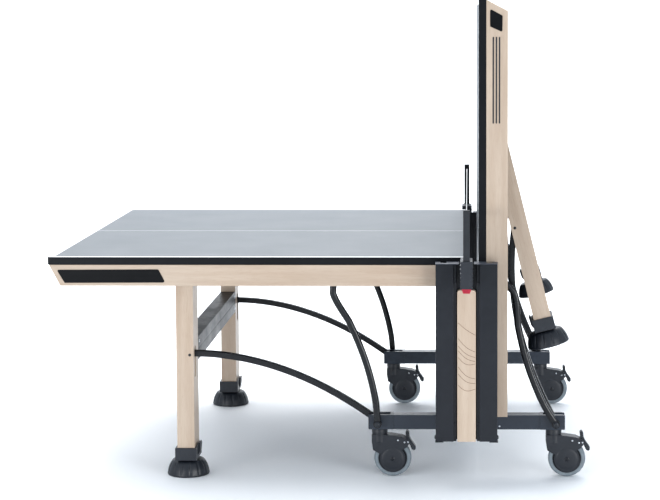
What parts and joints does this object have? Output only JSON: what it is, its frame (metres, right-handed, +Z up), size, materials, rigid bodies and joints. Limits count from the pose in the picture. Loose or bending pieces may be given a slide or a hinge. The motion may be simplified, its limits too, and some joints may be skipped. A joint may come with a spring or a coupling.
{
  "type": "folding table tennis table",
  "caption": "Folding table tennis table on a braked caster chassis: wood legs and aprons, curved folding arms, guide columns and a net; one half is down and the other is raised.",
  "frame": {"origin": "on the floor, under the centre of the object's bounding box; the net plane is at x = +0.481 m", "axes": "+Z up; X runs along the table's length, with the raised half on +X of the net; Y runs across it along the net, front side -Y"},
  "size_m": [1.779, 1.869, 1.6],
  "materials": {
    "beech": "light beech, satin lacquer",
    "playing_surface": "matt grey-blue playing coat on a wood panel",
    "dark_steel": "blue-black powder coat, semi-gloss",
    "dark_plastic": "fine-textured moulding",
    "tyre_rubber": "grey non-marking tyre",
    "bright_steel": "brushed",
    "red_plastic": "gloss",
    "net_mesh": "knotless cotton mesh with a white tape"
  },
  "bodies": {
    "chassis": {"base_beam_front": "dark_steel", "base_beam_rear": "dark_steel", "base_cross_tube": "dark_steel", "column_front": "dark_steel", "column_rear": "dark_steel", "column_insert_front": "beech", "column_insert_rear": "beech", "post_holder_front": "dark_plastic", "post_holder_rear": "dark_plastic"},
    "net_set": {"net": "net_mesh", "net_post_front": "dark_steel", "net_post_rear": "dark_steel"},
    "release_button_front": {"release_button_front": "red_plastic"},
    "release_button_rear": {"release_button_rear": "red_plastic"},
    "carriage_left": {"roller_axle_left": "bright_steel"},
    "half_left": {"top_left": "playing_surface", "apron_left_front": "beech", "apron_left_rear": "beech", "end_rail_left": "beech", "under_frame_left": "dark_steel"},
    "legs_left": {"leg_left_front": "beech", "leg_left_rear": "beech", "leg_crossbar_left": "dark_steel", "foot_socket_left_front": "dark_plastic", "foot_socket_left_rear": "dark_plastic"},
    "stay_arms_left": {"stay_arm_left_front": "dark_steel", "stay_arm_left_rear": "dark_steel"},
    "lift_arms_left": {"lift_arm_left_front": "dark_steel", "lift_arm_left_rear": "dark_steel"},
    "foot_left_front": {"levelling_foot_left_front": "dark_plastic"},
    "foot_left_rear": {"levelling_foot_left_rear": "dark_plastic"},
    "caster_left_front": {"caster_fork_left_front": "dark_plastic"},
    "wheel_left_front": {"caster_wheel_left_front": "tyre_rubber"},
    "pedal_left_front": {"brake_pedal_left_front": "dark_plastic"},
    "caster_left_rear": {"caster_fork_left_rear": "dark_plastic"},
    "wheel_left_rear": {"caster_wheel_left_rear": "tyre_rubber"},
    "pedal_left_rear": {"brake_pedal_left_rear": "dark_plastic"},
    "carriage_right": {"roller_axle_right": "bright_steel"},
    "half_right": {"top_right": "playing_surface", "apron_right_front": "beech", "apron_right_rear": "beech", "end_rail_right": "beech", "under_frame_right": "dark_steel"},
    "legs_right": {"leg_right_front": "beech", "leg_right_rear": "beech", "leg_crossbar_right": "dark_steel", "foot_socket_right_front": "dark_plastic", "foot_socket_right_rear": "dark_plastic"},
    "stay_arms_right": {"stay_arm_right_front": "dark_steel", "stay_arm_right_rear": "dark_steel"},
    "lift_arms_right": {"lift_arm_right_front": "dark_steel", "lift_arm_right_rear": "dark_steel"},
    "foot_right_front": {"levelling_foot_right_front": "dark_plastic"},
    "foot_right_rear": {"levelling_foot_right_rear": "dark_plastic"},
    "caster_right_front": {"caster_fork_right_front": "dark_plastic"},
    "wheel_right_front": {"caster_wheel_right_front": "tyre_rubber"},
    "pedal_right_front": {"brake_pedal_right_front": "dark_plastic"},
    "caster_right_rear": {"caster_fork_right_rear": "dark_plastic"},
    "wheel_right_rear": {"caster_wheel_right_rear": "tyre_rubber"},
    "pedal_right_rear": {"brake_pedal_right_rear": "dark_plastic"}
  },
  "joints": [
    {"name": "net_height", "type": "slide", "parent": "chassis", "child": "net_set", "axis": [0, 0, 1], "range_m": [-0.006, 0.012]},
    {"name": "button_front", "type": "slide", "parent": "chassis", "child": "release_button_front", "axis": [0, 1, 0], "range_m": [0, 0.004], "stiffness_N_per_m": 300, "springref_m": -0.002},
    {"name": "button_rear", "type": "slide", "parent": "chassis", "child": "release_button_rear", "axis": [0, -1, 0], "range_m": [0, 0.004], "stiffness_N_per_m": 300, "springref_m": -0.002},
    {"name": "carriage_left", "type": "slide", "parent": "chassis", "child": "carriage_left", "axis": [0, 0, 1], "range_m": [-0.42, 0]},
    {"name": "fold_left", "type": "hinge", "parent": "carriage_left", "child": "half_left", "pos_m": [0.406, 0, 0.724], "axis": [0, 1, 0], "range_deg": [0, 90]},
    {"name": "leg_fold_left", "type": "hinge", "parent": "half_left", "child": "legs_left", "pos_m": [-0.431, 0, 0.727], "axis": [0, 1, 0], "range_deg": [-76, 0]},
    {"name": "stay_arm_left", "type": "hinge", "parent": "chassis", "child": "stay_arms_left", "pos_m": [0.184, 0, 0.187], "axis": [0, 1, 0], "range_deg": [0, 81.9]},
    {"name": "lift_arm_left", "type": "hinge", "parent": "chassis", "child": "lift_arms_left", "pos_m": [0.184, 0, 0.187], "axis": [0, 1, 0], "range_deg": [0, 36]},
    {"name": "foot_level_left_front", "type": "slide", "parent": "legs_left", "child": "foot_left_front", "axis": [0, 0, 1], "range_m": [-0.01, 0.004]},
    {"name": "foot_level_left_rear", "type": "slide", "parent": "legs_left", "child": "foot_left_rear", "axis": [0, 0, 1], "range_m": [-0.01, 0.004]},
    {"name": "swivel_left_front", "type": "hinge", "parent": "chassis", "child": "caster_left_front", "pos_m": [0.189, -0.6035, 0.139], "axis": [0, 0, 1], "continuous": true},
    {"name": "roll_left_front", "type": "hinge", "parent": "caster_left_front", "child": "wheel_left_front", "pos_m": [0.233, -0.6035, 0.0625], "axis": [0, 1, 0], "continuous": true},
    {"name": "brake_left_front", "type": "hinge", "parent": "caster_left_front", "child": "pedal_left_front", "pos_m": [0.285, -0.6035, 0.119], "axis": [0, 1, 0], "range_deg": [0, 12]},
    {"name": "swivel_left_rear", "type": "hinge", "parent": "chassis", "child": "caster_left_rear", "pos_m": [0.189, 0.6035, 0.139], "axis": [0, 0, 1], "continuous": true},
    {"name": "roll_left_rear", "type": "hinge", "parent": "caster_left_rear", "child": "wheel_left_rear", "pos_m": [0.233, 0.6035, 0.0625], "axis": [0, 1, 0], "continuous": true},
    {"name": "brake_left_rear", "type": "hinge", "parent": "caster_left_rear", "child": "pedal_left_rear", "pos_m": [0.285, 0.6035, 0.119], "axis": [0, 1, 0], "range_deg": [0, 12]},
    {"name": "carriage_right", "type": "slide", "parent": "chassis", "child": "carriage_right", "axis": [0, 0, 1], "range_m": [0, 0.42]},
    {"name": "fold_right", "type": "hinge", "parent": "carriage_right", "child": "half_right", "pos_m": [0.556, 0, 0.305], "axis": [0, 1, 0], "range_deg": [0, 90]},
    {"name": "leg_fold_right", "type": "hinge", "parent": "half_right", "child": "legs_right", "pos_m": [0.553, 0, 1.142], "axis": [0, 1, 0], "range_deg": [-76, 0]},
    {"name": "stay_arm_right", "type": "hinge", "parent": "chassis", "child": "stay_arms_right", "pos_m": [0.778, 0, 0.187], "axis": [0, 1, 0], "range_deg": [0, 81.9]},
    {"name": "lift_arm_right", "type": "hinge", "parent": "chassis", "child": "lift_arms_right", "pos_m": [0.778, 0, 0.187], "axis": [0, 1, 0], "range_deg": [0, 36]},
    {"name": "foot_level_right_front", "type": "slide", "parent": "legs_right", "child": "foot_right_front", "axis": [-0.2419, 0, 0.9703], "range_m": [-0.01, 0.004]},
    {"name": "foot_level_right_rear", "type": "slide", "parent": "legs_right", "child": "foot_right_rear", "axis": [-0.2419, 0, 0.9703], "range_m": [-0.01, 0.004]},
    {"name": "swivel_right_front", "type": "hinge", "parent": "chassis", "child": "caster_right_front", "pos_m": [0.773, -0.6035, 0.139], "axis": [0, 0, 1], "continuous": true},
    {"name": "roll_right_front", "type": "hinge", "parent": "caster_right_front", "child": "wheel_right_front", "pos_m": [0.817, -0.6035, 0.0625], "axis": [0, 1, 0], "continuous": true},
    {"name": "brake_right_front", "type": "hinge", "parent": "caster_right_front", "child": "pedal_right_front", "pos_m": [0.869, -0.6035, 0.119], "axis": [0, 1, 0], "range_deg": [0, 12]},
    {"name": "swivel_right_rear", "type": "hinge", "parent": "chassis", "child": "caster_right_rear", "pos_m": [0.773, 0.6035, 0.139], "axis": [0, 0, 1], "continuous": true},
    {"name": "roll_right_rear", "type": "hinge", "parent": "caster_right_rear", "child": "wheel_right_rear", "pos_m": [0.817, 0.6035, 0.0625], "axis": [0, 1, 0], "continuous": true},
    {"name": "brake_right_rear", "type": "hinge", "parent": "caster_right_rear", "child": "pedal_right_rear", "pos_m": [0.869, 0.6035, 0.119], "axis": [0, 1, 0], "range_deg": [0, 12]}
  ],
  "couplings": [
    {"joint": "carriage_left", "follows": "fold_left", "m_per_rad": -0.26674},
    {"joint": "leg_fold_left", "follows": "fold_left", "ratio": -0.84444},
    {"joint": "stay_arm_left", "follows": "fold_left", "ratio": 0.91},
    {"joint": "lift_arm_left", "follows": "fold_left", "ratio": 0.4},
    {"joint": "carriage_right", "follows": "fold_right", "m_per_rad": 0.26674},
    {"joint": "leg_fold_right", "follows": "fold_right", "ratio": -0.84444},
    {"joint": "stay_arm_right", "follows": "fold_right", "ratio": 0.91},
    {"joint": "lift_arm_right", "follows": "fold_right", "ratio": 0.4}
  ]
}
